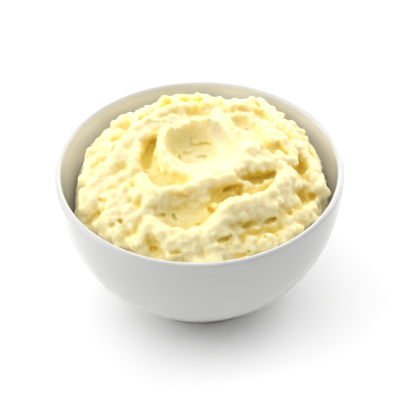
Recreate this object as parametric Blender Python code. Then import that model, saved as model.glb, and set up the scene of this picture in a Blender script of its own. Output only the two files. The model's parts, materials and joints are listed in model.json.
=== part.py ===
"""Mashed potato side: a round white bowl heaped with mashed potato that was worked with a spoon.

Two solids, both in their final place: `bowl`, turned about the Z axis, and `mash`, which fills the bowl
from its floor up to a swirled mound. The origin is the middle of the bowl's underside, +Z is up, and
-Y is the side that a guest at the table sees. Lengths below are millimetres; MM turns them into metres
when the meshes are made.
"""
import math

import bmesh
import bpy
import numpy as np
from mathutils import Vector, noise

MM = 0.001

# Bowl: driving sizes
BOWL_RADIUS = 75.0         # outside, at the lip
BOWL_HEIGHT = 78.0
LIP_THICKNESS = 3.5        # the lip is a full round
WALL_GAIN = 0.5            # how much thicker the wall is near the floor
BODY_DEPTH = 74.0          # lip down to where the outer curve would close
BODY_FULLNESS = 3.1        # exponent of the outer curve: 2 is an ellipse, more is fuller
FLOOR_HEIGHT = 7.5         # inside floor above the table
FOOT_RADIUS = 37.6
FOOT_WIDTH = 5.0
FOOT_RECESS = 3.2          # hollow under the bowl, inside the foot ring
FOOT_JOIN_HEIGHT = 8.8     # where the foot meets the body
FOOT_EDGE = 0.7            # rounding of the foot's two lower edges
BOWL_SEGMENTS = 56

# Mash: driving sizes
CLEARANCE = 0.4            # between mash and bowl
CROWN_HEIGHT = 92.0        # middle of the mound above the table, before the relief
SHOULDER_DROP = 16.0       # how far the mound falls from its crown to its shoulder
SHOULDER_RADIUS = 62.0
CROWN_POWER = 2.2          # above 2 the top is flatter and the shoulder rounder
MOUND_RINGS = 29           # ring k of the top has 6 k vertices
SIDE_RINGS = 4             # outermost rings, which run down the mound's side to the wall
BELOW_RINGS = 5            # rings of the underside
NOISE_HEIGHT = 1.3
NOISE_GRAIN = 9.0          # wavelength of the general unevenness

# Height where the mash meets the wall, at eight compass points from +X anticlockwise. It sinks into a
# deep gap on the left and right, and stands nearly level with the lip at the front.
WALL_CONTACT = (50.0, 60.0, 65.0, 60.0, 45.0, 60.0, 71.0, 59.0)
# Radius of the mound's shoulder at the same eight points.
SHOULDER = (63.0, 63.5, 64.5, 60.0, 60.5, 62.5, 65.5, 63.0)

# Ridges pushed up by the spoon: crest points, height, half width, and how far the crest leans over.
RIDGES = (
    # ring round the middle hollow
    (((9, 14), (-4, 17), (-16, 11), (-20, 0), (-17, -16), (-8, -25), (4, -27), (16, -21)), 2.8, 3.2, (0, 0)),
    # the long fold that sweeps round the left side to the back
    (((-54, -20), (-48, -9), (-40, 0), (-36, 12), (-28, 18), (-18, 26), (-10, 35)), 3.2, 4.2, (-0.6, 0.4)),
    # outer edge of the pocket left of the ring
    (((-38, -26), (-34, -17), (-31, -7), (-29, 4)), 1.8, 3.4, (0, 0)),
    # lip between the left pocket and the front hollow
    (((-30, -19), (-25, -28), (-17, -34), (-5, -35), (7, -30), (20, -25)), 3.6, 3.2, (0.2, -1.0)),
    # near edge of the front hollow
    (((-26, -42), (-24, -51), (-15, -57), (-4, -58), (6, -55), (11, -49)), 4.2, 3.4, (0, 0.3)),
    # the arm that curls from the front round to the right
    (((11, -57), (12, -49), (16, -42), (26, -40), (36, -35), (42, -26), (45, -16)), 5.2, 4.2, (0.4, -0.5)),
    # fold behind the right pocket
    (((18, -19), (27, -17), (34, -17), (40, -12), (43, -3)), 3.4, 4.6, (0.3, -1.0)),
    # outer fold that runs round the right side
    (((34, 54), (41, 44), (46, 28), (50, 12), (54, -2), (58, -12)), 3.6, 3.8, (0, 0)),
    # crest between the middle hollow and the back-right hollow
    (((11, 12), (18, 4), (25, -4), (33, -4)), 2.4, 3.6, (0, 0)),
    # far edge of the back-right hollow
    (((6, 29), (17, 25), (28, 21), (37, 10)), 2.0, 3.4, (0, 0)),
    # rough crests along the back edge
    (((-23, 55), (-16, 60), (-8, 58), (3, 60), (13, 56)), 4.2, 4.4, (0, 0)),
    (((22, 52), (30, 58), (38, 52)), 4.0, 4.4, (0, 0)),
)

# Narrow dips between the folds: middle line, depth, half width.
GROOVES = (
    # the pocket left of the ring
    (((-25, 9), (-27, -3), (-25, -14), (-18, -22), (-9, -24)), 6.0, 4.6),
    # the pocket right of the front hollow, and the one that goes on from it
    (((3, -37), (12, -31), (21, -25)), 5.5, 4.6),
    (((23, -27), (32, -25), (39, -18)), 6.5, 5.0),
    # under the arm's outer side
    (((15, -60), (24, -51), (34, -47), (44, -38), (50, -26)), 5.5, 3.8),
    # under the outer fold
    (((48, 6), (51, -4), (52, -14)), 4.5, 3.2),
)

# Hollows left by the spoon and pits: middle, half length, half width, turn in degrees, depth.
HOLLOWS = (
    ((0, -3), 19.0, 17.0, 0, 6.5),
    ((-6, -40), 17.0, 12.0, 5, 8.0),
    ((24, 14), 14.0, 7.5, -38, 4.8),
    ((2, 31), 9.0, 4.4, -8, 2.4),
    ((52, -21), 6.0, 5.5, 80, 5.5),
    ((-34, -19), 4.0, 3.2, 0, 3.2),
    ((-52, -33), 6.5, 4.0, -50, 3.6),
    ((-24, -59), 5.0, 3.2, 30, 3.0),
)

# Separate clots: middle, radius, height.
CLOTS = (
    ((-33, -41), 6.0, 2.6), ((-41, -47), 6.0, 2.8), ((-46, -38), 6.5, 2.8), ((-55, -27), 6.5, 2.8),
    ((-43, -28), 6.0, 2.0), ((-31, -55), 6.0, 3.0), ((-17, -63), 5.0, 2.6), ((-6, -64), 6.0, 2.6),
    ((5, -64), 6.5, 3.6), ((22, -60), 6.5, 3.0), ((34, -56), 6.0, 3.2), ((45, -45), 6.5, 4.0),
    ((53, -36), 5.0, 2.8), ((59, -18), 5.5, 4.0), ((61, -8), 5.0, 3.0), ((-55, 4), 5.5, 2.4),
    ((-50, 16), 5.5, 2.6), ((-47, 28), 5.0, 2.4), ((-38, 35), 6.0, 2.8), ((-29, 43), 6.0, 3.0),
    ((51, 33), 5.5, 2.4), ((56, 17), 5.0, 2.4), ((26, 36), 6.0, 2.4), ((9, 47), 6.0, 2.2),
    ((38, 24), 5.5, 2.0), ((-8, 45), 5.5, 2.0), ((31, -52), 4.0, 1.4), ((39, -42), 5.0, 1.6),
)


def outer_radius(height):
    """Outside of the bowl's body at a height."""
    depth = (BOWL_HEIGHT - height) / BODY_DEPTH
    return BOWL_RADIUS * max(0.0, 1.0 - depth * depth) ** (1.0 / BODY_FULLNESS)


def inner_radius(height):
    """Inside of the bowl at a height: the outer curve again, closing at the inside floor."""
    depth = min(1.0, (BOWL_HEIGHT - height) / (BOWL_HEIGHT - FLOOR_HEIGHT))
    rim = BOWL_RADIUS - LIP_THICKNESS - WALL_GAIN * depth
    return rim * max(0.0, 1.0 - depth * depth) ** (1.0 / BODY_FULLNESS)


def arc(middle_r, middle_z, radius, start, end, steps):
    """Points of an arc in the turning plane, angles in degrees from +r towards +z."""
    points = []
    for step in range(steps + 1):
        angle = math.radians(start + (end - start) * step / steps)
        points.append((middle_r + radius * math.cos(angle), middle_z + radius * math.sin(angle)))
    return points


def bowl_profile():
    """Closed half section, from the middle of the underside round the outside to the inside floor."""
    inner_foot = FOOT_RADIUS - FOOT_WIDTH
    points = [(0.0, FOOT_RECESS), (inner_foot - 1.2, FOOT_RECESS)]
    points += arc(inner_foot + FOOT_EDGE, FOOT_EDGE, FOOT_EDGE, 180, 270, 2)
    points += arc(FOOT_RADIUS - FOOT_EDGE, FOOT_EDGE, FOOT_EDGE, 270, 360, 2)
    points.append((FOOT_RADIUS, FOOT_JOIN_HEIGHT - 1.0))
    lip = LIP_THICKNESS / 2
    low = math.asin((BOWL_HEIGHT - FOOT_JOIN_HEIGHT) / BODY_DEPTH)
    high = math.asin(lip / BODY_DEPTH)
    steps = 13
    for step in range(steps + 1):
        height = BOWL_HEIGHT - BODY_DEPTH * math.sin(low + (high - low) * step / steps)
        points.append((outer_radius(height), height))
    points += arc(BOWL_RADIUS - lip, BOWL_HEIGHT - lip, lip, 20, 160, 5)
    steps = 12
    for step in range(steps):
        turn = math.asin(lip / (BOWL_HEIGHT - FLOOR_HEIGHT))
        angle = turn + (math.pi / 2 - turn) * step / steps
        height = BOWL_HEIGHT - (BOWL_HEIGHT - FLOOR_HEIGHT) * math.sin(angle)
        points.append((inner_radius(height), height))
    points.append((0.0, FLOOR_HEIGHT))
    return points


def make_bowl():
    bm = bmesh.new()
    verts = [bm.verts.new((r * MM, 0.0, z * MM)) for r, z in bowl_profile()]
    edges = [bm.edges.new(pair) for pair in zip(verts, verts[1:])]
    bmesh.ops.spin(bm, geom=verts + edges, cent=(0, 0, 0), axis=(0, 0, 1), angle=math.tau,
                   steps=BOWL_SEGMENTS, use_merge=True, use_duplicate=False)
    bmesh.ops.remove_doubles(bm, verts=bm.verts, dist=0.00001)
    return add_object("bowl", bm, glazed_white())


def smooth_line(points, steps=6):
    """A Catmull-Rom curve through the points, as an array of positions."""
    pts = [np.array(p, float) for p in points]
    pts = [2 * pts[0] - pts[1]] + pts + [2 * pts[-1] - pts[-2]]
    line = []
    for a, b, c, d in zip(pts, pts[1:], pts[2:], pts[3:]):
        for step in range(steps):
            t = step / steps
            line.append(0.5 * (2 * b + (c - a) * t + (2 * a - 5 * b + 4 * c - d) * t * t
                               + (3 * b - a - 3 * c + d) * t ** 3))
    line.append(pts[-2])
    return np.array(line)


def ridge_strength(x, y, points, half_width):
    """1 on the line, falling to 0 beside it and to less than half at its two ends."""
    line = smooth_line(points)
    best = np.full(x.shape, 1e9)
    place = np.zeros(x.shape)
    count = len(line) - 1
    for i in range(count):
        a, step = line[i], line[i + 1] - line[i]
        t = np.clip(((x - a[0]) * step[0] + (y - a[1]) * step[1]) / step.dot(step), 0, 1)
        distance = np.hypot(x - a[0] - t * step[0], y - a[1] - t * step[1])
        nearer = distance < best
        place = np.where(nearer, (i + t) / count, place)
        best = np.minimum(best, distance)
    taper = np.clip(np.minimum(place, 1 - place) / 0.12, 0, 1) * 0.6 + 0.4
    return np.exp(-(best / half_width) ** 2) * taper


def hollow_strength(x, y, middle, half_length, half_width, turn):
    """1 at the bottom of a spoon mark, 0 from its edge outwards."""
    cos, sin = math.cos(math.radians(turn)), math.sin(math.radians(turn))
    u = ((x - middle[0]) * cos + (y - middle[1]) * sin) / half_length
    v = ((y - middle[1]) * cos - (x - middle[0]) * sin) / half_width
    return np.clip(1 - (u * u + v * v), 0, 1)


def relief(x, y):
    """Height of the mound over the table, and how far its crests lean over, at many places."""
    radius = np.hypot(x, y)
    height = CROWN_HEIGHT - SHOULDER_DROP * (radius / SHOULDER_RADIUS) ** CROWN_POWER
    lean = np.zeros(x.shape + (2,))
    smooth = np.zeros(x.shape)
    for middle, half_length, half_width, turn, depth in HOLLOWS:
        strength = hollow_strength(x, y, middle, half_length, half_width, turn)
        height = height - depth * strength
        smooth = np.maximum(smooth, strength)
    for points, depth, half_width in GROOVES:
        strength = ridge_strength(x, y, points, half_width)
        height = height - depth * strength
        smooth = np.maximum(smooth, strength)
    for points, rise, half_width, over in RIDGES:
        strength = ridge_strength(x, y, points, half_width)
        height = height + rise * strength
        lean = lean + strength[..., None] * np.array(over)
    for middle, clot_radius, rise in CLOTS:
        distance = np.hypot(x - middle[0], y - middle[1]) / clot_radius
        height = height + rise * np.clip(1 - distance ** 2, 0, 1) ** 1.5
    rough = [noise.noise(Vector((a / NOISE_GRAIN, b / NOISE_GRAIN, 0.3))) for a, b in zip(x, y)]
    height = height + NOISE_HEIGHT * np.array(rough) * (1 - smooth)
    return height, lean


def around(values, angle):
    """Smooth value at an angle, from eight values at the compass points."""
    place = (angle % math.tau) / math.tau * len(values)
    low = int(place) % len(values)
    blend = 0.5 - 0.5 * math.cos(math.pi * (place - int(place)))
    return values[low] * (1 - blend) + values[(low + 1) % len(values)] * blend


def mound_top():
    """Positions of the top, ring by ring from the middle out to the contact with the wall."""
    top_rings = MOUND_RINGS - SIDE_RINGS
    places, ring_of = [], []
    for ring in range(top_rings + 1):
        for j in range(max(1, 6 * ring)):
            angle = math.tau * j / max(1, 6 * ring)
            shoulder = around(SHOULDER, angle)
            places.append((shoulder * ring / top_rings * math.cos(angle),
                           shoulder * ring / top_rings * math.sin(angle)))
            ring_of.append(ring)
    x, y = np.array(places).T
    height, lean = relief(x, y)
    inward = 1 - np.clip((np.hypot(x, y) - 58.0) / 8.0, 0, 1)
    x, y = x + lean[:, 0] * inward, y + lean[:, 1] * inward
    rings = [[] for _ in range(MOUND_RINGS + 1)]
    for a, b, z, ring in zip(x, y, height, ring_of):
        rings[ring].append((a, b, z))
    edge = [math.hypot(a, b) for a, b, _ in rings[top_rings]]
    edge_height = [z for _, _, z in rings[top_rings]]
    for ring in range(top_rings + 1, MOUND_RINGS + 1):
        part = (ring - top_rings) / SIDE_RINGS
        for j in range(6 * ring):
            angle = math.tau * j / (6 * ring)
            at = j * len(edge) / (6 * ring)
            low, blend = int(at) % len(edge), at - int(at)
            start_r = edge[low] * (1 - blend) + edge[(low + 1) % len(edge)] * blend
            start_z = edge_height[low] * (1 - blend) + edge_height[(low + 1) % len(edge)] * blend
            end_z = around(WALL_CONTACT, angle)
            end_r = inner_radius(end_z) - CLEARANCE
            z = start_z + (end_z - start_z) * part ** 1.3
            r = start_r + (end_r - start_r) * math.sin(part * math.pi / 2)
            r = min(r, inner_radius(min(z, BOWL_HEIGHT - LIP_THICKNESS)) - CLEARANCE)
            rings[ring].append((r * math.cos(angle), r * math.sin(angle), z))
    return rings


def mound_below():
    """Rings of the underside, which follows the bowl's inside down to its floor."""
    rings = []
    depth = BOWL_HEIGHT - FLOOR_HEIGHT
    for ring in range(BELOW_RINGS, 0, -1):
        count = 6 * ring
        points = []
        for j in range(count):
            angle = math.tau * j / count
            start = math.asin((BOWL_HEIGHT - around(WALL_CONTACT, angle)) / depth)
            part = 1 - ring / (BELOW_RINGS + 1)
            turn = start + (math.radians(88) - start) * part ** 0.8
            z = BOWL_HEIGHT - depth * math.sin(turn)
            r = inner_radius(z) - CLEARANCE
            points.append((r * math.cos(angle), r * math.sin(angle), z + CLEARANCE))
        rings.append(points)
    rings.append([(0.0, 0.0, FLOOR_HEIGHT + CLEARANCE)])
    return rings


def join_rings(bm, first, second):
    """Triangles between two rings that both start at the same angle, whatever their counts."""
    i = j = 0
    while i < len(first) or j < len(second):
        if len(second) == 1:
            step_first = True
        elif len(first) == 1:
            step_first = False
        else:
            step_first = (i + 1) / len(first) <= (j + 1) / len(second)
        a, b = first[i % len(first)], second[j % len(second)]
        if step_first:
            bm.faces.new((a, first[(i + 1) % len(first)], b))
            i += 1
        else:
            bm.faces.new((a, second[(j + 1) % len(second)], b))
            j += 1
        if (len(second) == 1 and i == len(first)) or (len(first) == 1 and j == len(second)):
            break


def make_mash():
    bm = bmesh.new()
    rings = mound_top() + mound_below()
    rows = [[bm.verts.new((x * MM, y * MM, z * MM)) for x, y, z in ring] for ring in rings]
    for first, second in zip(rows, rows[1:]):
        join_rings(bm, first, second)
    return add_object("mash", bm, buttery_mash())


def add_object(name, bm, material):
    bmesh.ops.recalc_face_normals(bm, faces=bm.faces)
    mesh = bpy.data.meshes.new(name)
    bm.to_mesh(mesh)
    bm.free()
    mesh.materials.append(material)
    mesh.shade_smooth()
    mesh.set_sharp_from_angle(angle=math.radians(50))
    made = bpy.data.objects.new(name, mesh)
    bpy.context.collection.objects.link(made)
    return made


def principled(name, colour, roughness):
    material = bpy.data.materials.new(name)
    material.use_nodes = True
    shader = material.node_tree.nodes["Principled BSDF"]
    shader.inputs["Base Color"].default_value = (*colour, 1.0)
    shader.inputs["Roughness"].default_value = roughness
    shader.inputs["Metallic"].default_value = 0.0
    return material


def glazed_white():
    return principled("glazed_white_porcelain", (0.86, 0.86, 0.85), 0.12)


def buttery_mash():
    return principled("buttery_mash", (0.93, 0.82, 0.48), 0.5)


for old in list(bpy.data.objects):
    bpy.data.objects.remove(old, do_unlink=True)
make_bowl()
make_mash()
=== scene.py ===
import json
import math

import bpy
import numpy as np
from mathutils import Matrix, Vector, bvhtree, kdtree, noise

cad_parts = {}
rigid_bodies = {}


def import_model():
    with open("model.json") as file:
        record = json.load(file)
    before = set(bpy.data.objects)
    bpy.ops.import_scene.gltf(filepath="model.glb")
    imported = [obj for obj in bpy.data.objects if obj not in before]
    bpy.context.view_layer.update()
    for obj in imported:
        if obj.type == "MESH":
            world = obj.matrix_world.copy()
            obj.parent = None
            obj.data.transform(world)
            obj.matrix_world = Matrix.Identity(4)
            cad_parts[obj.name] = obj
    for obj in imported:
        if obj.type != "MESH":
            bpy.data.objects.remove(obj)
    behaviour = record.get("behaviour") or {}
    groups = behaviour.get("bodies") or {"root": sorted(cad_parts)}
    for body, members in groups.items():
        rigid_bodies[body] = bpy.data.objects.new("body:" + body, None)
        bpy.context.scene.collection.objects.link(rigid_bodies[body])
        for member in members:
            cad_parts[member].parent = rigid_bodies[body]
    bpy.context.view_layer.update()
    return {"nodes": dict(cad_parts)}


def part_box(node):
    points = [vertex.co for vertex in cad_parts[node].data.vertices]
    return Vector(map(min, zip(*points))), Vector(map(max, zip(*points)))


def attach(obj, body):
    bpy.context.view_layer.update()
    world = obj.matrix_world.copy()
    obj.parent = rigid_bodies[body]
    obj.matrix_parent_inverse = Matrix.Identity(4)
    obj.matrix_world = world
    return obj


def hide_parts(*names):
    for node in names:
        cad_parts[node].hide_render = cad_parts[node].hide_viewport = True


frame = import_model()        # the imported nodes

MM = 0.001               # the sizes below are millimetres


# ---------------------------------------------------------------------------------------------------
# Bowl: a 15 cm side bowl of hard-paste porcelain, jiggered in a plaster mould, dipped in a clear
# glaze and fired standing on its foot ring, which was wiped bare first.
# ---------------------------------------------------------------------------------------------------
def linear(hex_colour):
    """An sRGB hex colour as linear RGBA."""
    shares = [int(hex_colour[i:i + 2], 16) / 255 for i in (1, 3, 5)]
    return tuple(c / 12.92 if c <= 0.04045 else ((c + 0.055) / 1.055) ** 2.4 for c in shares) + (1.0,)


def add_node(material, kind, settings=None, links=None, **values):
    """One shader node: its settings, its input values and what its inputs are linked from."""
    made = material.node_tree.nodes.new(kind)
    for key, value in (settings or {}).items():
        setattr(made, key, value)
    for key, value in values.items():
        made.inputs[key.replace("_", " ")].default_value = value
    for key, source in (links or {}).items():
        material.node_tree.links.new(source, made.inputs[key])
    return made


def start_object(name, add_primitive, **sizes):
    """Deselects everything and adds a primitive as a new named object."""
    bpy.ops.object.select_all(action="DESELECT")
    add_primitive(**sizes)
    made = bpy.context.object
    made.name = made.data.name = name
    return made


bowl_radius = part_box("bowl")[1].x / MM
bowl_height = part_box("bowl")[1].z / MM
lip = 3.5                # thickness of the wall at the top
body_depth = 74.0        # from the lip to where the outside curve would close
fullness = 3.1           # how far the wall's curve bulges past a circle's
inside_floor = 7.5
foot_radius = 37.6
foot_width = 5.0
foot_recess = 3.2        # height of the hollow under the bowl
foot_join = 8.8          # where the foot ring meets the body
bowl_turns = 160         # steps round the bowl


def outer_radius(height):
    """Radius of the bowl's outside."""
    depth = (bowl_height - height) / body_depth
    return bowl_radius * max(0.0, 1 - depth * depth) ** (1 / fullness)


def inner_radius(height):
    """Radius of the bowl's inside."""
    depth = min(1.0, (bowl_height - height) / (bowl_height - inside_floor))
    return (bowl_radius - lip - 0.5 * depth) * max(0.0, 1 - depth * depth) ** (1 / fullness)


def arc(centre, radius, start, end, steps):
    """Points along an arc in the half section, turned from start to end degrees."""
    turns = [math.radians(start + (end - start) * i / steps) for i in range(steps + 1)]
    return [(centre[0] + radius * math.cos(t), centre[1] + radius * math.sin(t)) for t in turns]


def bowl_outline():
    """Half section from the middle of the underside, round the outside and the lip, to the inside floor."""
    inner_foot = foot_radius - foot_width
    outline = [(0.0, foot_recess), (inner_foot - 3, foot_recess)]
    outline += arc((inner_foot - 2.2, foot_recess - 1), 1.0, 90, 15, 4)
    outline += arc((inner_foot + 0.9, 0.9), 0.9, 180, 270, 5)
    outline += arc((foot_radius - 0.9, 0.9), 0.9, 270, 360, 5)
    outline += [(foot_radius, foot_join - 2.4), (foot_radius + 0.25, foot_join - 1.1)]
    low, high = math.asin((bowl_height - foot_join) / body_depth), math.asin(lip / 2 / body_depth)
    for i in range(41):
        height = bowl_height - body_depth * math.sin(low + (high - low) * i / 40)
        outline.append((outer_radius(height) + (0.5 if i == 0 else 0), height))
    outline += arc((bowl_radius - lip / 2, bowl_height - lip / 2), lip / 2, 15, 165, 12)
    low = math.asin(lip / 2 / (bowl_height - inside_floor))
    for i in range(40):
        height = bowl_height - (bowl_height - inside_floor) * math.sin(low + (math.pi / 2 - low) * i / 40)
        outline.append((inner_radius(height), height))
    return outline + [(0.0, inside_floor)]


bowl = start_object("side_bowl", bpy.ops.mesh.primitive_plane_add, size=MM)
bpy.ops.object.mode_set(mode="EDIT")
bpy.ops.mesh.delete(type="VERT")
bpy.ops.object.mode_set(mode="OBJECT")
outline = bowl_outline()
bowl.data.from_pydata([(r * MM, 0, z * MM) for r, z in outline],
                      [(i, i + 1) for i in range(len(outline) - 1)], [])
bpy.ops.object.mode_set(mode="EDIT")
bpy.ops.mesh.select_all(action="SELECT")
bpy.ops.mesh.spin(steps=bowl_turns, angle=math.tau, center=(0, 0, 0), axis=(0, 0, 1))
bpy.ops.mesh.select_all(action="SELECT")
bpy.ops.mesh.remove_doubles(threshold=0.00001)
bpy.ops.mesh.normals_make_consistent(inside=False)
bpy.ops.object.mode_set(mode="OBJECT")
bpy.ops.object.shade_smooth_by_angle(angle=math.radians(40))

# 0 on the outside, 1 on the inside: painted light and shade that make the inside walls whiter and the
#                                    outside greyer, on one glaze all over. It fades towards the top of the
#                                    lip.
bowl_co = np.array([v.co for v in bowl.data.vertices]) / MM
from_outside = np.array([outer_radius(z) for z in bowl_co[:, 2]]) - np.hypot(bowl_co[:, 0], bowl_co[:, 1])
inside = np.clip((from_outside - 0.4) / 2.2, 0, 1) * (bowl_co[:, 2] > inside_floor - 1)
inside *= np.clip((bowl_height + 0.5 - bowl_co[:, 2]) / 4, 0.3, 1)
painted_inside_light = bowl.data.attributes.new("painted_inside_light", "FLOAT", "POINT")
painted_inside_light.data.foreach_set("value", inside.astype(np.float32))

glaze = bpy.data.materials.new("glazed_porcelain")
glaze.use_nodes = True
shader = glaze.node_tree.nodes["Principled BSDF"]
inside_light = add_node(glaze, "ShaderNodeAttribute", {"attribute_name": "painted_inside_light"})
white = add_node(glaze, "ShaderNodeValToRGB", links={"Fac": inside_light.outputs["Fac"]})
# Greyer outside to whiter inside: painted shade and painted light, not a change in the glaze.
white.color_ramp.elements[0].color = linear("#CACAC9")
white.color_ramp.elements[1].color = linear("#EFEFEE")
glaze.node_tree.links.new(white.outputs["Color"], shader.inputs["Base Color"])
place = add_node(glaze, "ShaderNodeTexCoord")
ripple = add_node(glaze, "ShaderNodeTexNoise", links={"Vector": place.outputs["Object"]},
                  Scale=1 / (9 * MM), Detail=1.0)
skin = add_node(glaze, "ShaderNodeBump", links={"Height": ripple.outputs["Fac"]},
                Strength=0.35, Distance=0.1 * MM)
glaze.node_tree.links.new(skin.outputs["Normal"], shader.inputs["Normal"])
shader.inputs["Roughness"].default_value = 0.14
shader.inputs["IOR"].default_value = 1.5
bowl.data.materials.append(glaze)

# Bare fired body under the foot ring: matt, a little warmer than the glaze, faintly gritty
bisque = bpy.data.materials.new("bare_porcelain")
bisque.use_nodes = True
shader = bisque.node_tree.nodes["Principled BSDF"]
place = add_node(bisque, "ShaderNodeTexCoord")
grit = add_node(bisque, "ShaderNodeTexNoise", links={"Vector": place.outputs["Object"]},
                Scale=1 / (0.6 * MM))
bare = add_node(bisque, "ShaderNodeValToRGB", links={"Fac": grit.outputs["Fac"]})
bare.color_ramp.elements[0].color = linear("#D8D2C6")
bare.color_ramp.elements[1].color = linear("#E8E3D8")
bisque.node_tree.links.new(bare.outputs["Color"], shader.inputs["Base Color"])
shader.inputs["Roughness"].default_value = 0.75
bowl.data.materials.append(bisque)
wiped = 1.0 * MM
for face in bowl.data.polygons:
    face.material_index = 1 if face.center.z < wiped else 0
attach(bowl, "root")
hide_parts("bowl")


# ---------------------------------------------------------------------------------------------------
# Mashed potato: floury potatoes mashed by hand with butter and milk, spooned into the bowl while warm
# and swirled with the back of the spoon, which leaves smooth hollows between crumbly folds.
# ---------------------------------------------------------------------------------------------------
def apply_modifier(piece, kind, **settings):
    """Adds a modifier and applies it."""
    modifier = piece.modifiers.new(kind.lower(), kind)
    for key, value in settings.items():
        setattr(modifier, key, value)
    bpy.context.view_layer.objects.active = piece
    bpy.ops.object.modifier_apply(modifier=modifier.name)


bpy.ops.object.select_all(action="DESELECT")
mash = frame["nodes"]["mash"].copy()
mash.data = mash.data.copy()
mash.parent = None
mash.name = mash.data.name = "mashed_potato"
for key in list(mash.keys()):
    del mash[key]
bpy.context.scene.collection.objects.link(mash)
bpy.context.view_layer.objects.active = mash
mash.select_set(True)
mash.data.materials.clear()
bpy.ops.object.mode_set(mode="EDIT")
bpy.ops.mesh.select_all(action="SELECT")
bpy.ops.mesh.remove_doubles(threshold=0.00001)
bpy.ops.object.mode_set(mode="OBJECT")
apply_modifier(mash, "SUBSURF", levels=1, render_levels=1)

rng = np.random.default_rng(11)      # the crumbs fall the same way in each run


def points_of(piece):
    """A mesh's vertices in millimetres."""
    co = np.empty(len(piece.data.vertices) * 3, np.float32)
    piece.data.vertices.foreach_get("co", co)
    return co.reshape(-1, 3).astype(float) / MM


def set_points(piece, co):
    """Moves a mesh's vertices to these places, in millimetres."""
    piece.data.vertices.foreach_set("co", (co * MM).astype(np.float32).ravel())
    piece.data.update()


def normals_of(piece):
    """The normals at a mesh's vertices."""
    no = np.empty(len(piece.data.vertices) * 3, np.float32)
    piece.data.vertex_normals.foreach_get("vector", no)
    return no.reshape(-1, 3).astype(float)


def smooth_line(points, steps=8):
    """A Catmull-Rom curve through the points."""
    pts = [np.array(p, float) for p in points]
    pts = [2 * pts[0] - pts[1]] + pts + [2 * pts[-1] - pts[-2]]
    line = []
    for a, b, c, d in zip(pts, pts[1:], pts[2:], pts[3:]):
        for t in np.arange(steps) / steps:
            line.append(0.5 * (2 * b + (c - a) * t + (2 * a - 5 * b + 4 * c - d) * t * t
                               + (3 * b - a - 3 * c + d) * t ** 3))
    return np.array(line + [pts[-2]])


def beside_line(co, points):
    """Distance to a line seen from above."""
    line = smooth_line(points)
    best = np.full(len(co), 1e9)
    for a, b in zip(line, line[1:]):
        step = b - a
        t = np.clip(((co[:, :2] - a) @ step) / step.dot(step), 0, 1)
        best = np.minimum(best, np.hypot(*(co[:, :2] - a - t[:, None] * step).T))
    return best


def in_oval(co, middle, half_length, half_width, turn):
    """0 in the middle of an oval seen from above, 1 on its edge, growing with the square."""
    c, s = math.cos(math.radians(turn)), math.sin(math.radians(turn))
    u = ((co[:, 0] - middle[0]) * c + (co[:, 1] - middle[1]) * s) / half_length
    v = ((co[:, 1] - middle[1]) * c - (co[:, 0] - middle[0]) * s) / half_width
    return u * u + v * v


# Marks of the back of the spoon: middle, half length, half width, turn, floor height, rise to the edge
spoon_ovals = (
    ((-3, 4.5), 14.4, 13.8, 0, 82.0, 8.2),
    ((8, 1), 13.0, 15.0, 0, 86.6, 3.8),
    ((0, -10), 14.0, 9.0, 0, 87.4, 2.4),
    ((-7, -40), 15.0, 8.5, 4, 77.4, 7.0),
    ((26, 24), 12.0, 6.5, -42, 82.0, 4.0),
    ((3, 33), 6.0, 3.0, -14, 85.0, 2.0),
    ((31, -27), 8.0, 3.8, 30, 80.8, 5.0),
    ((30, -17), 10.5, 3.6, 18, 79.0, 6.0),
    ((13, -31), 9.0, 6.0, 25, 78.0, 6.0),
    ((52, -3), 3.6, 6.0, 12, 74.0, 6.0),
    ((52, -21), 3.4, 3.6, 0, 69.5, 7.0),
)
# Marks drawn along a line: line, half width, floor height, rise to the edge
spoon_lines = (
    (((-23, 10), (-25.5, 5), (-27, 0), (-27, -6)), 3.8, 80.6, 7.0),
    (((-26.5, -2), (-25, -9), (-22, -15), (-16.5, -19.8), (-9, -23)), 5.0, 83.4, 5.0),
)
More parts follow.
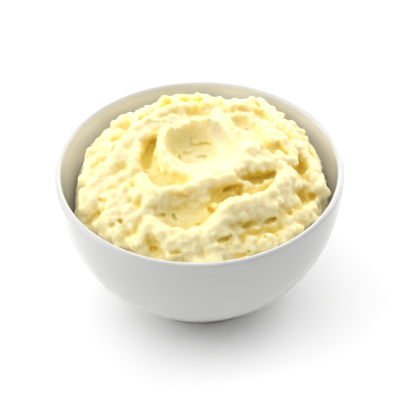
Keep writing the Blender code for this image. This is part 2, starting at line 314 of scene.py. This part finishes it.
# Slots and holes where folds close over each other: places on the surface, radius, depth
slots = (
    (((12.5, -25, 84), (16, -25.5, 85), (19.5, -26, 84.5), (20, -27, 82)), 2.5, 5.0),
    (((4.5, -36, 80.5), (6.5, -37.5, 79.7)), 1.7, 4.0),
    (((22, -20, 86), (26, -16, 82.8), (30, -15, 81.2), (34, -14, 81.5), (38, -14, 84.5)), 1.6, 3.0),
    (((20, -49.3, 79), (22.6, -47.4, 78.7), (25.5, -47.3, 79.6), (28.5, -47.7, 78.6)), 1.4, 4.0),
    (((31.5, -45, 77.2), (34, -44, 78.3), (37.7, -41, 77.5)), 1.4, 4.0),
    (((9, -58.6, 79), (11.5, -57, 78.7), (14.5, -54.6, 78.5)), 1.5, 4.0),
    (((29, -54.5, 76), (32, -53, 76), (35.3, -50.5, 75), (38.7, -51, 76), (41.2, -49.6, 76.6)), 1.2, 3.5),
    (((26.6, -56.3, 76.4), (28, -55.5, 76.3)), 1.0, 2.5),
    (((17, -64, 72.4), (20.5, -63, 73), (23.5, -61, 73.5)), 1.3, 3.5),
    (((49, -8, 82), (51, -7, 80.5)), 2.0, 7.0),
    (((51.5, -24, 75), (54.5, -25, 76), (57, -23, 75.2)), 2.5, 7.0),
    (((60.5, -25, 69.5), (62, -22.3, 68.6)), 2.2, 5.0),
    (((60.8, 4.2, 75.2), (62.4, 3.8, 73.4)), 1.6, 4.0),
    (((-34, -22, 86), (-33.6, -22.8, 85.5)), 2.0, 4.5),
    (((-21, -34.7, 88), (-21.4, -35.2, 87.6)), 1.1, 2.5),
    (((-21.4, -11.7, 85.8), (-20.6, -12.2, 85.8)), 1.2, 2.5),
    (((-13.5, -20, 84.7), (-12, -20.3, 84.7)), 1.3, 2.0),
    (((-54.5, -31.4, 71), (-52.3, -31.8, 73.2), (-50.8, -30.8, 74.3)), 1.6, 4.0),
    (((-57.7, -31.8, 68), (-55.5, -32.6, 70)), 1.7, 4.0),
    (((-49.7, -25.6, 78.4), (-47.5, -27.7, 79.6)), 1.4, 3.0),
    (((-32.7, -34.7, 83.9), (-30.7, -34.7, 83.2)), 1.4, 3.0),
    (((-40.8, -40.6, 77.4), (-38.6, -43.4, 79.2)), 1.3, 3.0),
    (((-31.6, -45.8, 80.5), (-30, -46, 81.2)), 1.1, 2.5),
    (((-26, -57, 72.4), (-23.4, -57, 73), (-21.4, -57.6, 73)), 1.6, 4.5),
    (((-16, -62.5, 76), (-13, -63, 75.7), (-10, -63, 75.7)), 1.1, 3.0),
    (((-44.2, -44.2, 76), (-42.7, -43.3, 77.2)), 1.2, 3.0),
    (((-44, 9, 84.5), (-45, 4, 84), (-47.5, -1, 82.5)), 2.2, 3.0),
    (((-23.5, 12, 85), (-25.5, 9.5, 83.5), (-27, 6, 82.7)), 2.4, 4.0),
    (((-22, -39, 84), (-21, -41, 82.5), (-18.5, -41, 80)), 2.0, 3.0),
)
# Torn cracks in the smooth hollows, likewise
cracks = (
    (((-4, 14.5, 84.4), (-4.2, 12, 83.2)), 0.7, 3.0),
    (((-4, 12, 83.2), (-1, 11.5, 82.9), (2.3, 11.8, 83.5), (6, 10, 84.4)), 0.75, 3.0),
    (((-7.6, 6.4, 82.3), (-4.5, 6, 82.1)), 0.9, 3.0),
    (((-3, 4, 82.1), (-1.5, 2.6, 82.1), (2.2, 2.7, 82.2), (4, 1.5, 82.6)), 0.8, 3.0),
    (((-10.2, 3.6, 82.7), (-9.7, 1.5, 82.7)), 0.8, 3.0),
    (((-13, -38, 77.8), (-12, -40.2, 77.4)), 1.1, 3.5),
    (((-1.5, -43, 76.3), (1, -43.5, 77)), 1.2, 3.0),
    (((-18.3, -39.2, 79.8), (-17.5, -39.6, 79.7)), 1.2, 2.5),
    (((25.4, 24.6, 82), (26.2, 24.2, 82)), 1.2, 3.0),
    (((27, 9, 90.5), (28.6, 8.2, 90)), 1.0, 2.5),
)


def spoon_surface(co, ovals=spoon_ovals, lines=spoon_lines):
    """Height of the lowest spoon mark over each place, a little past the marks' edges too."""
    lowest = np.full(len(co), np.inf)
    for middle, half_length, half_width, turn, floor_z, rise in ovals:
        q = in_oval(co, middle, half_length, half_width, turn)
        lowest = np.minimum(lowest, np.where(q < 1.8, floor_z + rise * q ** 2.6, np.inf))
    for points, half_width, floor_z, rise in lines:
        q = (beside_line(co, points) / half_width) ** 2
        lowest = np.minimum(lowest, np.where(q < 2.2, floor_z + rise * q, np.inf))
    return lowest


slot_left = 0.45         # share of a slot's depth that stays open once the soft mash settles


def carve(co, points, radius, depth):
    """Pushes a round-ended slot into the surface, backwards and down, with torn edges."""
    line = smooth_line(points, 4)
    depth *= slot_left
    low, high = line.min(axis=0) - depth - 3, line.max(axis=0) + depth + 3
    near = np.flatnonzero(np.all((co > low) & (co < high), axis=1))
    inward = np.array((0, 0.76, -0.65))
    for step in np.arange(0, depth, radius * 0.4):
        part = co[near]
        best, offset = np.full(len(near), 1e9), np.zeros((len(near), 3))
        for a, b in zip(line, line[1:]):
            a, b = a + inward * step, b + inward * step
            t = np.clip(((part - a) @ (b - a)) / (b - a).dot(b - a), 0, 1)
            away = part - a - t[:, None] * (b - a)
            length = np.linalg.norm(away, axis=1)
            closer = length < best
            best[closer], offset[closer] = length[closer], away[closer]
        size = radius * np.array([1 + 0.6 * noise.noise(Vector(p / 2.3)) for p in part])
        ends = np.minimum(np.linalg.norm(part - line[0], axis=1), np.linalg.norm(part - line[-1], axis=1))
        size *= 0.55 + 0.45 * np.clip(ends / (2 * radius), 0, 1)
        hit = np.flatnonzero(best < size)
        along = offset[hit] @ inward
        shift = -along + np.sqrt(np.maximum(along ** 2 - best[hit] ** 2 + size[hit] ** 2, 0))
        co[near[hit]] += shift[:, None] * inward


def spooned(co):
    """How smooth the surface is there, from 0 for crumbly to 1."""
    most = np.zeros(len(co))
    for middle, half_length, half_width, turn, _, _ in spoon_ovals:
        inside = 1 - in_oval(co, middle, half_length, half_width, turn)
        most = np.maximum(most, np.clip(inside * 2.2, 0, 1))
    for points, half_width, _, _ in spoon_lines:
        inside = 1 - (beside_line(co, points) / half_width) ** 2
        most = np.maximum(most, np.clip(inside * 2, 0, 1))
    return most


def scatter(piece, count, spacing, keep):
    """Places on the piece's surface at least `spacing` apart, where keep(places) lets them be."""
    mesh = piece.data
    mesh.calc_loop_triangles()
    tris = np.empty(len(mesh.loop_triangles) * 3, np.int32)
    mesh.loop_triangles.foreach_get("vertices", tris)
    tris = tris.reshape(-1, 3)
    co = points_of(piece)
    a, b, c = co[tris[:, 0]], co[tris[:, 1]], co[tris[:, 2]]
    cross = np.cross(b - a, c - a)
    area = np.linalg.norm(cross, axis=1)
    normal = cross / np.maximum(area, 1e-9)[:, None]
    weight = area * (a[:, 2] > 42)
    picked = rng.choice(len(tris), size=count, p=weight / weight.sum())
    u, v = rng.random(count), rng.random(count)
    flip = u + v > 1
    u[flip], v[flip] = 1 - u[flip], 1 - v[flip]
    places = a[picked] + u[:, None] * (b - a)[picked] + v[:, None] * (c - a)[picked]
    chosen, grid = [], {}
    allowed = rng.random(count) < keep(places)
    for i in np.flatnonzero(allowed):
        cell = tuple((places[i] // spacing).astype(int))
        near = [grid.get((cell[0] + x, cell[1] + y, cell[2] + z), ())
                for x in (-1, 0, 1) for y in (-1, 0, 1) for z in (-1, 0, 1)]
        if all(np.sum((places[i] - places[j]) ** 2) > spacing ** 2 for group in near for j in group):
            grid.setdefault(cell, []).append(i)
            chosen.append(i)
    return places[chosen], normal[picked[chosen]]


clot = start_object("clot", bpy.ops.mesh.primitive_ico_sphere_add, subdivisions=2, radius=1.0)
clot_shape = np.array([v.co for v in clot.data.vertices])
clot_faces = np.array([f.vertices for f in clot.data.polygons])
bpy.data.objects.remove(clot)


def random_turns(count):
    """Random rotation matrices."""
    q = rng.normal(size=(count, 4))
    q /= np.linalg.norm(q, axis=1)[:, None]
    w, x, y, z = q.T
    return np.stack([1 - 2 * (y * y + z * z), 2 * (x * y - w * z), 2 * (x * z + w * y),
                     2 * (x * y + w * z), 1 - 2 * (x * x + z * z), 2 * (y * z - w * x),
                     2 * (x * z - w * y), 2 * (y * z + w * x), 1 - 2 * (x * x + y * y)], 1).reshape(-1, 3, 3)


def clots_at(places, normals, radii, sunk):
    """Uneven clots, drawn out along the swirl, each sunk into the surface by a share of its radius."""
    reach = np.hypot(places[:, 0], places[:, 1])
    room = np.array([inner_radius(min(z, bowl_height - lip)) for z in places[:, 2]]) - reach
    ok = room > radii * 0.9
    places, normals, radii, sunk, reach = places[ok], normals[ok], radii[ok], sunk[ok], reach[ok]
    count = len(places)
    along = np.stack([-places[:, 1], places[:, 0], 0 * reach], 1) / np.maximum(reach, 5)[:, None]
    along += rng.normal(0, 0.45, (count, 3))
    along -= normals * np.sum(along * normals, axis=1)[:, None]
    along /= np.linalg.norm(along, axis=1)[:, None]
    frames = np.stack([along, np.cross(normals, along), normals], 2)
    shapes = clot_shape[None] * rng.uniform(0.94, 1.06, (count, len(clot_shape), 1))
    stretch = np.stack([rng.uniform(1.0, 1.5, count), rng.uniform(0.9, 1.1, count), np.ones(count)], 1)
    shapes = np.einsum("nij,nkj->nki", frames, shapes * stretch[:, None]) * radii[:, None, None]
    shapes = shapes + (places - normals * (radii * sunk)[:, None])[:, None]
    return shapes.reshape(-1, 3)


# Folds of mash, along the middle of each: place and radius
folds = (
    # the long fold that sweeps round the left side to the back
    ((-54, -18, 75.5, 4.2), (-51, -11, 78.5, 4.6), (-45.5, -4, 81.9, 4.2), (-40, 3.5, 84.9, 3.6),
     (-37, 11, 86.4, 3.4), (-31, 19, 87.6, 3.4), (-24, 26, 88.4, 3.2), (-18, 32, 88.6, 3.2),
     (-10, 36, 88.5, 3.2), (-2, 37, 88.6, 2.6)),
    # fingers beside the left pocket
    ((-32, 6, 87.0, 2.4), (-33, -4, 86.6, 2.7), (-35, -13, 84.8, 2.2)),
    ((-31, 10, 87.2, 3.6), (-26, 15, 88.0, 3.2)),
    # edge of the middle hollow, from the back round the left to the right
    ((-17, 12, 90.0, 3.0), (-19.5, 4, 90.4, 2.0), (-19, -2, 90.4, 2.0), (-17.5, -8, 90.0, 1.8),
     (-14.5, -13.5, 89.4, 1.8), (-11, -17, 88.8, 1.6)),
    ((2, 19, 91.2, 2.4), (6, 20, 91.6, 2.0), (10, 19, 91.0, 2.2)),
    ((4, -23, 88.6, 2.8), (11, -21, 88.8, 3.2), (18, -18, 89.6, 3.4)),
    # rough crest right of the middle hollow
    ((20, 13, 90.0, 2.2), (25, 7, 89.6, 2.4), (28, -2, 89.8, 2.6), (22, -8, 90.2, 2.8)),
    # lip between the left pocket and the front hollow
    ((-29, -17, 85.8, 2.6), (-26, -25, 85.6, 3.2), (-20, -30, 86.6, 2.2), (-14, -30, 88.0, 2.0),
     (-7, -30, 88.8, 2.0), (0, -28, 89.2, 2.2), (8, -26, 89.2, 2.8), (16, -23, 88.8, 3.4)),
    # near edge of the front hollow
    ((-24, -46, 79.0, 3.6), (-18, -50, 79.6, 2.0), (-12, -52, 79.4, 1.8), (-5, -53, 79.2, 1.8),
     (2, -51, 80.2, 2.0), (7, -47, 81.4, 2.4)),
    # the arm that curls from the front round to the right
    ((1, -57, 76.6, 4.2), (6, -53, 79.6, 3.8), (10, -47, 83.0, 3.6), (13, -42, 85.6, 3.6),
     (18, -40, 85.6, 4.0), (25, -38, 84.8, 3.4), (31, -34, 84.4, 3.2), (37, -28, 84.6, 3.3),
     (42, -21, 84.6, 3.6), (46, -15, 83.6, 3.6)),
    # folds that hang over the right pocket
    ((26, -12, 87.6, 3.0), (33, -10, 86.6, 2.8), (38, -7, 86.0, 2.8), (43, -3, 85.0, 2.8)),
    ((37, 15, 86.2, 3.0), (42, 12, 85.6, 3.0), (46, 6, 84.4, 3.0), (48, 0, 82.9, 3.1),
     (48, -6, 81.6, 2.6)),
    # outer fold that runs down the right side
    ((34, 56, 75.6, 3.0), (36, 46, 78.8, 3.0), (38, 38, 81.0, 3.0), (43, 29, 82.0, 3.0),
     (48, 22, 81.4, 3.0), (51, 14, 81.0, 3.0), (54, 7, 79.4, 3.2), (57, 0, 77.4, 3.4),
     (59, -8, 75.8, 3.8)),
)
# Single lumps: place and radius
lumps = (
    # beads and crumbs round the middle hollow
    (-14, 15, 91.6, 2.2), (-8, 17, 91.4, 1.8), (-3, 19, 91.6, 2.0), (-16, -11, 90.6, 1.8),
    # ribs down to the right pocket
    (23, -12, 89.2, 2.8), (29, -7, 88.6, 2.8), (34, -5, 87.6, 2.8), (41, -1, 85.8, 2.6),
    (44, -6, 84.0, 2.3), (38, 8, 86.8, 3.2), (31, 2, 88.4, 3.0), (27, -15, 86.8, 2.4),
    (32, -14, 86.2, 2.4), (37, -12, 84.8, 2.2), (24, -22, 83.0, 2.8), (8, -35, 81.0, 2.2),
    # on the arm
    (26, -41, 81.6, 3.4), (30, -41, 80.4, 3.2), (38, -33, 81.6, 3.2), (43, -26, 81.4, 3.6),
    (47, -20, 80.8, 3.2), (21, -44, 82.0, 3.2), (15, -46, 80.4, 3.2), (43, -31, 78.0, 3.4),
    (50, -18, 78.4, 3.0), (35, -38, 79.0, 3.0),
    # under the arm, along the front lip
    (-4, -60, 74.0, 5.4), (6, -60, 73.4, 5.0), (-8, -54, 77.0, 3.0), (-15, -56, 74.6, 3.0),
    (13, -60, 72.5, 3.6), (17, -56, 74.4, 3.8), (25, -54, 73.8, 3.8), (19, -50, 76.4, 3.2),
    (27, -47, 76.2, 3.2), (13, -54, 76.2, 3.0), (33, -53, 71.4, 5.0), (40, -49, 71.8, 4.2),
    (35, -43, 75.4, 3.4), (43, -40, 73.6, 3.6), (49, -36, 73.6, 4.0), (53, -31, 73.4, 3.4),
    (48, -43, 71.8, 3.6),
    # right side, down to the wall
    (62, -10, 73.5, 3.6), (58, -17, 74.0, 3.0), (64, -16, 71.9, 3.0), (52, -15, 76.8, 3.0),
    (57, -28, 71.0, 3.4), (58, -34, 70.0, 3.2), (45, 46, 73.9, 2.6), (49, 37, 74.7, 3.0),
    (54, 32, 73.4, 3.2), (55, 24, 74.0, 3.2), (59, 17, 73.1, 3.2), (61, 10, 71.8, 3.2),
    # back
    (-18, 50, 82.4, 3.6), (-11, 43, 85.8, 3.4), (-8, 51, 83.4, 3.0), (0, 51, 83.6, 3.2),
    (4, 42, 86.2, 3.6), (11, 44, 84.8, 3.6), (18, 40, 85.2, 3.6), (24, 43, 83.3, 3.4),
    (29, 51, 80.4, 3.6), (30, 42, 83.0, 3.2), (-28, 35, 85.0, 4.2), (-23, 37, 86.0, 3.4),
    (-38, 34, 81.9, 4.2), (-43, 32, 81.0, 3.4), (-47.5, 30, 76.3, 2.8), (-33, 29, 84.3, 3.2),
    # left
    (-56, 14, 77.4, 3.8), (-49, 14, 80.4, 3.4), (-45, 22, 81.5, 3.8), (-55, 4, 77.8, 3.6),
    (-50, 7, 80.0, 3.0), (-59, -6, 74.2, 4.0), (-58, -18, 74.0, 5.0), (-58, -25, 71.8, 4.8),
    (-53, -21, 76.6, 4.0),
    # front left
    (-43, -26, 80.5, 3.8), (-38, -23, 82.6, 3.6), (-43, -32, 77.5, 4.0), (-35, -36, 79.8, 4.2),
    (-48, -37, 73.4, 4.6), (-44, -39, 75.8, 3.6), (-40, -46, 73.4, 4.6), (-34, -44, 76.2, 3.4),
    (-51, -38, 72.0, 3.4), (-29, -53, 74.2, 3.2), (-35, -51, 73.2, 3.2), (-31, -29, 83.2, 3.4),
    (-37, -30, 81.0, 3.0), (-30, -40, 80.2, 3.4), (-26, -36, 82.8, 3.6), (-25, -45, 78.8, 4.8),
    (-40, -15, 83.0, 3.8), (-45, -17, 81.0, 3.6),
)


def fold_balls():
    """Overlapping balls that fill the folds, and the single lumps."""
    balls = []
    for fold in folds:
        line = smooth_line(fold, 16)
        gap = np.linalg.norm(np.diff(line[:, :3], axis=0), axis=1)
        length = np.concatenate([[0], np.cumsum(gap)])
        at = [0.0]
        while at[-1] < length[-1]:
            at.append(at[-1] + 0.4 * np.interp(at[-1], length, line[:, 3]))
        at = np.array(at[:-1])
        row = np.stack([np.interp(at, length, line[:, k]) for k in range(4)], 1)
        knots = np.arange(0, length[-1] + 9, 3.0)
        row[:, 3] *= 1 + 0.12 * np.interp(at, knots, rng.uniform(-1, 1, len(knots)))
        row[:, :3] += rng.normal(0, 0.25, (len(row), 3))
        balls.append(row)
    return np.vstack(balls + [np.array(lumps) * (1, 1, 1, 0.88)])     # the skin adds to the lumps' size


def mound(x, y):
    """Height of the whole heap's smooth outline."""
    return 92 - 16 * (np.hypot(x, y) / 62) ** 2.2


def join_clots(shapes):
    """Joins clots onto the mash as one object."""
    points = np.vstack(shapes)
    clot = start_object("clot", bpy.ops.mesh.primitive_ico_sphere_add, subdivisions=1, radius=1.0)
    n = len(points) // len(clot_shape)
    faces = (clot_faces[None] + (np.arange(n) * len(clot_shape))[:, None, None]).reshape(-1, 3)
    clot.data.clear_geometry()
    clot.data.from_pydata((points * MM).tolist(), [], faces.tolist())
    mash.select_set(True)
    bpy.context.view_layer.objects.active = mash
    bpy.ops.object.join()


def spread(piece, values, steps):
    """Values at the vertices, averaged with their neighbours' a number of times."""
    pairs = np.empty(len(piece.data.edges) * 2, np.int32)
    piece.data.edges.foreach_get("vertices", pairs)
    a, b = pairs.reshape(-1, 2).T
    count = np.maximum(np.bincount(pairs, minlength=len(values)), 1)
    values = values.copy()
    for _ in range(steps):
        for k in range(values.shape[1]):
            v = values[:, k]
            total = np.bincount(a, v[b], len(v)) + np.bincount(b, v[a], len(v))
            values[:, k] = 0.4 * v + 0.6 * total / count
    return values


def folded(places):
    """1 on the smooth folds, 0 more than about 2 mm off them."""
    out = np.zeros(len(places))
    for i, place in enumerate(places):
        _, j, distance = fold_tree.find(place)
        out[i] = np.clip(2.2 - (distance - balls[j, 3]), 0, 1)
    return out


balls = fold_balls()
ball_tree = kdtree.KDTree(len(balls))
for i, ball in enumerate(balls):
    ball_tree.insert(ball[:3], i)
ball_tree.balance()
smooth_balls = len(balls) - len(lumps)
fold_tree = kdtree.KDTree(smooth_balls)
for i in range(smooth_balls):
    fold_tree.insert(balls[i, :3], i)
fold_tree.balance()


def clear_of_balls(places, margin):
    """True where a place is off the folds and lumps."""
    out = np.ones(len(places), bool)
    for i, place in enumerate(places):
        for _, j, distance in ball_tree.find_range(place, 8):
            if distance < balls[j, 3] + margin:
                out[i] = False
    return out


def dense_clots(layers, keep):
    """Layers of clots on the surface: places tried, spacing, radii and how far they stand out."""
    for count, spacing, low, high, least, most, share in layers:
        places, normals = scatter(mash, count, spacing, lambda p: share * keep(p))
        radii = rng.uniform(low, high, len(places))
        above = rng.uniform(least, most, len(places))
        yield clots_at(places, normals, radii, (radii - above) / radii)


def remesh(size, smooth):
    """Makes one even skin of the mash, with this voxel size, and smooths it this many times."""
    apply_modifier(mash, "REMESH", mode="VOXEL", voxel_size=size * MM, use_smooth_shade=True)
    if smooth:
        apply_modifier(mash, "SMOOTH", factor=0.5, iterations=smooth)


def press(surface):
    """Presses the top of the mash down to a surface where it stands above it."""
    co = points_of(mash)
    co[:, 2] = np.where(co[:, 2] > 55, np.minimum(co[:, 2], surface(co)), co[:, 2])
    set_points(mash, co)


# The core, and big clots on it where there are no folds
big_clots = ((4000, 9.0, 3.6, 5.2, -2.0, 0.9, 1.0), (6000, 6.5, 2.6, 3.6, -1.4, 0.8, 1.0))
groups = list(dense_clots(big_clots, lambda p: (1 - spooned(p)) * clear_of_balls(p, 0.2)))
co = points_of(mash)
reach = np.hypot(co[:, 0], co[:, 1])
top = co[:, 2] > 62
sink = 0.8 + 2.6 * np.clip((reach - 24) / 12, 0, 1) * np.clip((42 - co[:, 1]) / 10, 0.15, 1)
sunk = np.minimum(co[:, 2] - sink + 1, mound(co[:, 0], co[:, 1]) - sink)
co[:, 2] = np.where(top, sunk, co[:, 2])
side = top & (reach > 56)
co[side, :2] *= (1 - 3.5 * np.clip((reach[side] - 56) / 4, 0, 1) / reach[side])[:, None]
set_points(mash, co)
join_clots(groups)
remesh(0.9, 0)
press(spoon_surface)
apply_modifier(mash, "SMOOTH", factor=0.5, iterations=3)

# Folds and lumps
shapes = clot_shape[None] * rng.uniform(0.96, 1.04, (len(balls), len(clot_shape), 1))
shapes = shapes * balls[:, 3][:, None, None]
single = (np.arange(len(balls)) >= smooth_balls)[:, None, None]
shapes = np.where(single, shapes * rng.uniform(0.88, 1.15, (len(balls), 1, 3)), shapes)
shapes = np.einsum("nij,nkj->nki", random_turns(len(balls)), shapes) + balls[:, None, :3]
join_clots([shapes.reshape(-1, 3)])
remesh(0.8, 2)

# The mash slumps: holes between the lumps fill up more than the lumps flatten
co, no = points_of(mash), normals_of(mash)
even = spread(mash, co, 50)
hole = np.einsum("ij,ij->i", even - co, no) > 0
share = np.where(hole, 0.65, 0.25) * (1 - 0.7 * spooned(co))
set_points(mash, co + (even - co) * share[:, None])


def crumbly(places):
    """Share of places with lumps: all over the rough parts, fewer on folds, most on the hollow's rim."""
    middle, half_length, half_width, turn, _, _ = spoon_ovals[0]
    rim = in_oval(places, middle, half_length, half_width, turn)
    share = (1 - spooned(places)) * (1 - 0.45 * folded(places))
    return np.where((rim > 1.15) & (rim < 2) & (places[:, 0] < 2), 1, share)


# Close, shallow lumps all over what the spoon left rough
small_clots = ((12000, 4.8, 2.0, 3.0, 0.7, 1.7, 0.85), (30000, 2.9, 1.3, 1.9, 0.5, 1.2, 0.6))
join_clots(list(dense_clots(small_clots, crumbly)))
remesh(0.67, 0)
press(lambda co: spoon_surface(co, spoon_ovals[:3], ()))
apply_modifier(mash, "SMOOTH", factor=0.5, iterations=1)
co = points_of(mash)
for slot in slots:
    carve(co, *slot)
set_points(mash, co)
remesh(0.67, 1)


def edit_vertices(mask):
    """Goes into edit mode with only these vertices selected."""
    for group in (mash.data.vertices, mash.data.edges, mash.data.polygons):
        group.foreach_set("select", np.zeros(len(group), bool))
    mash.data.vertices.foreach_set("select", mask)
    bpy.ops.object.mode_set(mode="EDIT")
    bpy.ops.mesh.select_mode(type="VERT")


# Bubbles closed off inside are taken out
co = points_of(mash)
edit_vertices(co[:, 2] == co[:, 2].max())
bpy.ops.mesh.select_linked()
bpy.ops.mesh.select_all(action="INVERT")
bpy.ops.mesh.delete(type="VERT")
bpy.ops.object.mode_set(mode="OBJECT")

# The underside, hidden in the bowl, needs few faces
edit_vertices(points_of(mash)[:, 2] < 54)
bpy.ops.mesh.decimate(ratio=0.03)
bpy.ops.object.mode_set(mode="OBJECT")

apply_modifier(mash, "DECIMATE", ratio=0.86)

# Small pits, where crumbs tore out under the spoon
co, no = points_of(mash), normals_of(mash)
low = np.flatnonzero((spooned(co) > 0.25) & (co[:, 2] > 66))      # on the spooned top
pits = co[rng.choice(low, 90)]
pits = np.column_stack([pits, rng.uniform(0.7, 1.5, len(pits)), rng.uniform(0.2, 1.0, len(pits)) ** 2])
for x, y, z, size, depth in pits:
    away = np.sum((co - (x, y, z)) ** 2, axis=1) / size ** 2
    near = away < 4
    co[near, 2] -= depth * np.exp(-away[near])
for crack in cracks:
    carve(co, *crack)
# Mealy grain
upper = np.flatnonzero(co[:, 2] > 44)
smooth_part = spooned(co[upper])
for grain_size, height in ((1.9, 0.22), (1.1, 0.12)):
    wave = np.array([noise.noise(Vector(p / grain_size)) for p in co[upper]])
    co[upper] += no[upper] * (height * wave * (1 - 0.4 * smooth_part))[:, None]
# What presses against the bowl stays clear of its wall
wall = np.array([inner_radius(z) for z in np.minimum(co[:, 2], bowl_height)]) - 0.2
reach = np.hypot(co[:, 0], co[:, 1])
over = (reach > wall) & (co[:, 2] > 12)
co[over, :2] *= (wall[over] / reach[over])[:, None]
set_points(mash, co)


def creases(piece):
    """How enclosed each place is, from 0 in the open to 1 in a slot, for the painted shade in the creases.
    """
    co, no = points_of(piece), normals_of(piece)
    # Depth below the evened surface, on three scales: steps of evening, and the depth that counts in full
    depth = np.zeros(len(co))
    even, done = co, 0
    for steps, full in ((4, 0.25), (15, 0.7), (60, 2.0)):
        even = spread(piece, even, steps - done)
        done = steps
        depth += np.clip(np.einsum("ij,ij->i", even - co, no) / full, -1, 1) / 3
    tree = bvhtree.BVHTree.FromObject(piece, bpy.context.evaluated_depsgraph_get())
    # Share of the sky over each place that mash within reach shuts off, from rays spread round the normal
    rays, reach = 16, 20.0
    closed = np.zeros((len(co), 1))
    aims = rng.normal(size=(997, 3))
    aims /= np.linalg.norm(aims, axis=1)[:, None]
    for i in np.flatnonzero(co[:, 2] > 50):
        start = Vector((co[i] + no[i] * 0.4) * MM)
        for k in range(rays):
            aim = Vector(no[i] + 0.98 * aims[(i * rays + k) % 997])
            distance = tree.ray_cast(start, aim, reach * MM)[3]
            if distance is not None:
                closed[i] += (1 - distance / MM / reach) / rays
    closed = spread(piece, closed, 3)[:, 0]
    return np.clip(0.2 * depth + 0.9 * closed, 0, 1)


# Painted shade: enclosed places are painted a darker, deeper gold that stands in for shade and for light
# bounced between the folds.
painted_crease_shade = mash.data.attributes.new("painted_crease_shade", "FLOAT", "POINT")
painted_crease_shade.data.foreach_set("value", creases(mash).astype(np.float32))

potato = bpy.data.materials.new("buttery_mashed_potato")
potato.use_nodes = True
shader = potato.node_tree.nodes["Principled BSDF"]
depth = add_node(potato, "ShaderNodeAttribute", {"attribute_name": "painted_crease_shade"})
colour = add_node(potato, "ShaderNodeValToRGB", links={"Fac": depth.outputs["Fac"]})
ramp = colour.color_ramp
# Cream on the open surface to darker gold in the creases and slots: painted shade.
ramp.elements[0].position, ramp.elements[0].color = 0.04, linear("#F7EABC")
ramp.elements[1].position, ramp.elements[1].color = 0.85, linear("#F4DA44")
for place, shade in ((0.2, "#F6E498"), (0.45, "#F5DF70")):
    ramp.elements.new(place).color = linear(shade)
potato.node_tree.links.new(colour.outputs["Color"], shader.inputs["Base Color"])
place = add_node(potato, "ShaderNodeTexCoord")
grain = add_node(potato, "ShaderNodeTexNoise", links={"Vector": place.outputs["Object"]},
                 Scale=1 / (0.9 * MM), Detail=2.0, Roughness=0.6)
rough = add_node(potato, "ShaderNodeBump", links={"Height": grain.outputs["Fac"]},
                 Strength=0.9, Distance=0.3 * MM)
potato.node_tree.links.new(rough.outputs["Normal"], shader.inputs["Normal"])
shader.inputs["Roughness"].default_value = 0.5
shader.inputs["Subsurface Weight"].default_value = 1.0
shader.inputs["Subsurface Radius"].default_value = (1.0, 0.9, 0.5)
shader.inputs["Subsurface Scale"].default_value = 0.004
mash.data.materials.append(potato)
mash.data.shade_smooth()
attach(mash, "root")
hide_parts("mash")

# ---------------------------------------------------------------------------------------------------
# Studio: a sweep of matt white paper under large soft lights, and the camera.
# ---------------------------------------------------------------------------------------------------
floor = start_object("studio_floor", bpy.ops.mesh.primitive_plane_add, size=8.0)
paper = bpy.data.materials.new("white_paper_sweep")
paper.use_nodes = True
paper.node_tree.nodes["Principled BSDF"].inputs["Base Color"].default_value = linear("#FCFCFC")
paper.node_tree.nodes["Principled BSDF"].inputs["Roughness"].default_value = 1.0
paper.node_tree.nodes["Principled BSDF"].inputs["Specular IOR Level"].default_value = 0.0
floor.data.materials.append(paper)

# A plain white surround that hardly lights the object: the softboxes do that.
world = bpy.data.worlds.new("studio")
bpy.context.scene.world = world
world.use_nodes = True
sky = world.node_tree.nodes["Background"]
sky.inputs["Color"].default_value = (1, 1, 1, 1)
seen = world.node_tree.nodes.new("ShaderNodeLightPath")
level = world.node_tree.nodes.new("ShaderNodeMapRange")
level.inputs["To Min"].default_value = 0.1
world.node_tree.links.new(seen.outputs["Is Camera Ray"], level.inputs["Value"])
world.node_tree.links.new(level.outputs["Result"], sky.inputs["Strength"])


softbox_spread = 50      # degrees of the sky that each softbox fills


def softbox(name, azimuth, elevation, strength):
    """A far, large soft light. Azimuth 0 is behind the object, 90 to its left."""
    data = bpy.data.lights.new(name, "SUN")
    data.energy = strength
    data.angle = math.radians(softbox_spread)
    lamp = bpy.data.objects.new(name, data)
    bpy.context.scene.collection.objects.link(lamp)
    a, e = math.radians(azimuth), math.radians(elevation)
    towards = Vector((-math.sin(a) * math.cos(e), math.cos(a) * math.cos(e), math.sin(e)))
    lamp.rotation_euler = towards.to_track_quat("Z", "Y").to_euler()


softbox("back_softbox", 0, 22, 1.2)
softbox("back_left_softbox", 45, 22, 1.0)
softbox("left_softbox", 90, 22, 1.3)
softbox("back_right_softbox", -45, 22, 1.85)
softbox("left_high_softbox", 90, 48, 0.65)
softbox("right_softbox", -90, 48, 0.3)
softbox("overhead_softbox", 180, 75, 1.1)

# The camera looks down on the bowl from the front, 0.8 m from its middle
camera_data = bpy.data.cameras.new("camera")
camera_data.lens = 136.8
camera = bpy.data.objects.new("camera", camera_data)
bpy.context.scene.collection.objects.link(camera)
aim = Vector((0.1, 0, 55.0)) * MM
elevation, roll, distance = math.radians(40.82), math.radians(-1.16), 0.8
back = Vector((0, -math.cos(elevation), math.sin(elevation)))
turn = (-back).to_track_quat("-Z", "Y").to_matrix().to_4x4() @ Matrix.Rotation(roll, 4, "Z")
camera.matrix_world = Matrix.Translation(aim + back * distance) @ turn
bpy.context.scene.camera = camera
bpy.context.scene.view_settings.view_transform = "Standard"
